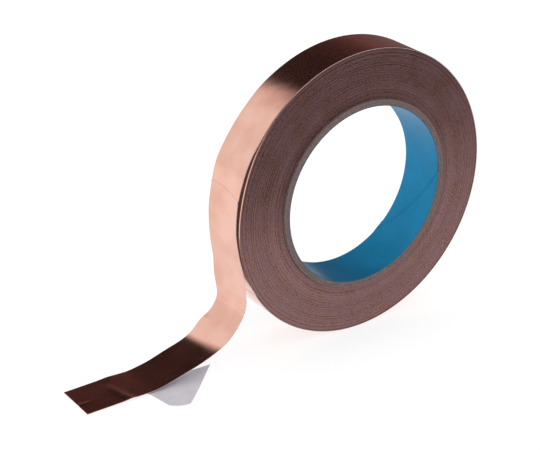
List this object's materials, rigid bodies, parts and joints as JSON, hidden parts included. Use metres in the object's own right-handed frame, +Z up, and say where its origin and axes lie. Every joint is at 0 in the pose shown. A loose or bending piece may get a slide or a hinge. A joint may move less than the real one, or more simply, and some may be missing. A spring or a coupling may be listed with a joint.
{
  "type": "copper foil tape roll",
  "caption": "Roll of adhesive copper foil tape on a blue-lined board core, standing on its rim with the free end peeled off and lying on the floor.",
  "frame": {"origin": "centre of the core's bore, midway across the tape's width", "axes": "+Y along the bore, from the front of the roll to its back; +Z up, with the roll standing on its rim; the free end comes off towards -X"},
  "size_m": [0.1913, 0.0338, 0.1236],
  "materials": {
    "copper_foil": "satin",
    "adhesive": "satin",
    "release_liner": "satin",
    "core_board": "matte",
    "core_paper": "matte",
    "blue_lining": "satin"
  },
  "bodies": {
    "outer_turn": {"foil_outer_turn": "copper_foil", "adhesive_outer_turn": "adhesive", "liner_outer_turn": "release_liner"},
    "wound_roll": {"core_lining": "blue_lining", "core_ply_1": "core_board", "core_ply_2": "core_board", "core_ply_3": "core_board", "core_ply_4": "core_board", "core_cover": "core_paper", "liner_winding": "release_liner", "adhesive_winding": "adhesive", "foil_winding": "copper_foil"},
    "tail_drop": {"foil_tail_drop": "copper_foil", "adhesive_tail_drop": "adhesive", "liner_tail_drop": "release_liner"},
    "tail_ramp": {"foil_tail_ramp": "copper_foil", "adhesive_tail_ramp": "adhesive", "liner_tail_ramp": "release_liner", "liner_fold": "release_liner"},
    "tail_end": {"foil_tail_end": "copper_foil", "adhesive_tail_end": "adhesive"},
    "liner_flap": {"liner_flap": "release_liner"}
  },
  "joints": [
    {"name": "roll_turn", "type": "hinge", "parent": "outer_turn", "child": "wound_roll", "pos_m": [0, 0, 0], "axis": [0, 1, 0], "continuous": true},
    {"name": "tail_lift", "type": "hinge", "parent": "outer_turn", "child": "tail_drop", "pos_m": [-0.06023, 0, -0.01909], "axis": [0, 1, 0], "range_deg": [0, 50]},
    {"name": "tail_bend", "type": "hinge", "parent": "tail_drop", "child": "tail_ramp", "pos_m": [-0.05811, 0, -0.03525], "axis": [0, 1, 0], "range_deg": [0, 40]},
    {"name": "tail_end_lift", "type": "hinge", "parent": "tail_ramp", "child": "tail_end", "pos_m": [-0.10433, 0, -0.0612], "axis": [0, 1, 0], "range_deg": [0, 40]},
    {"name": "liner_flap_lift", "type": "hinge", "parent": "tail_ramp", "child": "liner_flap", "pos_m": [-0.092, -0.0102, -0.06175], "axis": [-1, 0, 0], "range_deg": [0, 60]}
  ]
}
